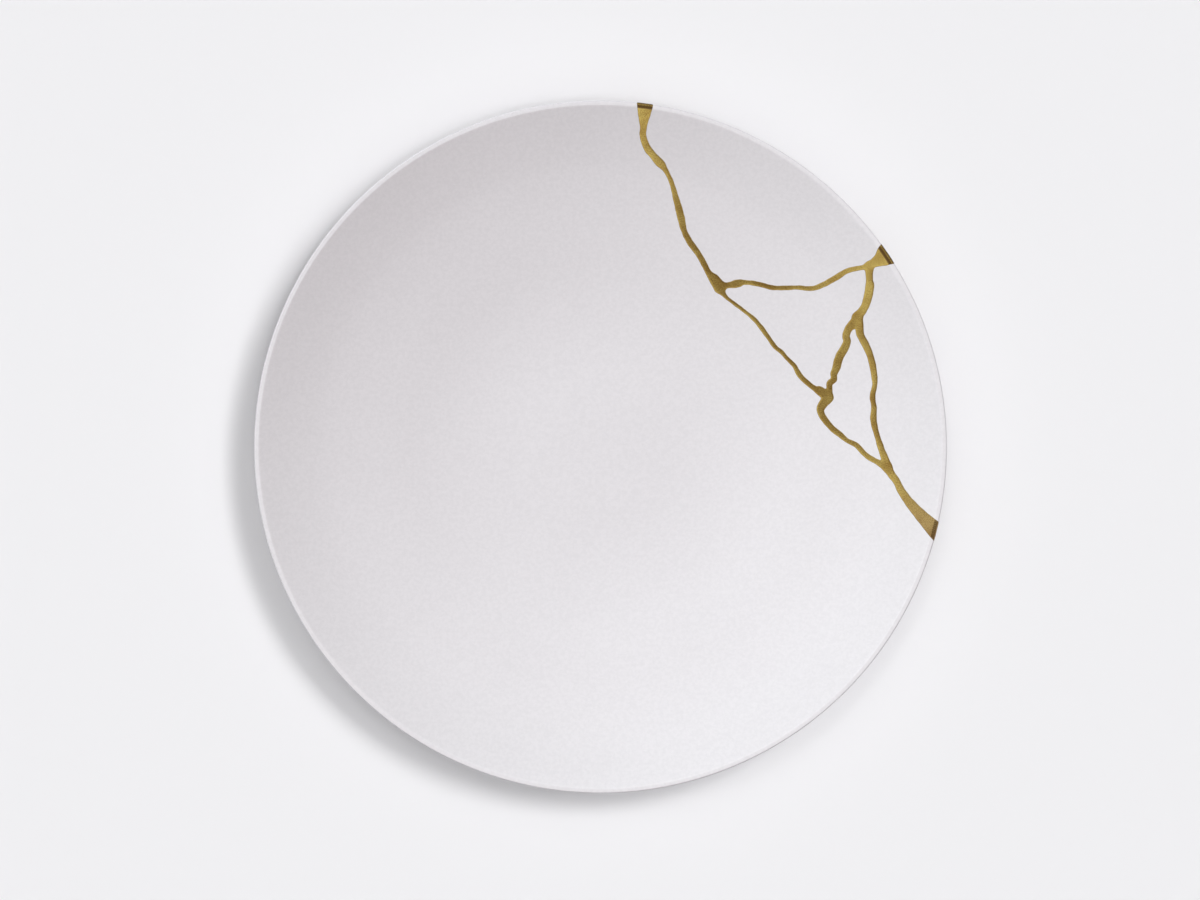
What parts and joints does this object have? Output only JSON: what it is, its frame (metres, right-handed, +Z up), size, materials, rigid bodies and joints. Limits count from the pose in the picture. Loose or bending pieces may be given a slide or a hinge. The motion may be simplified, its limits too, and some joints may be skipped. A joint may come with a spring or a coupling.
{
  "type": "kintsugi dinner plate",
  "caption": "Round coupe dinner plate in pale glazed porcelain, broken at one side and mended with raised gold lacquer seams through the wall.",
  "frame": {"origin": "middle of the circle that the foot ring stands on", "axes": "+Z up through the plate's middle, +X to the right and +Y away from the reader when the plate is seen as in the picture, from straight above"},
  "size_m": [0.266, 0.266, 0.0249],
  "materials": {
    "porcelain": "satin white glaze with a faint cool tint",
    "gold": "gold dust on lacquer, softly polished, brown at its edges"
  },
  "bodies": {
    "root": {"plate_body": "porcelain", "upper_rim_shard": "porcelain", "right_rim_shard": "porcelain", "inner_shard": "porcelain", "narrow_shard": "porcelain", "gold_seam": "gold"}
  },
  "joints": []
}
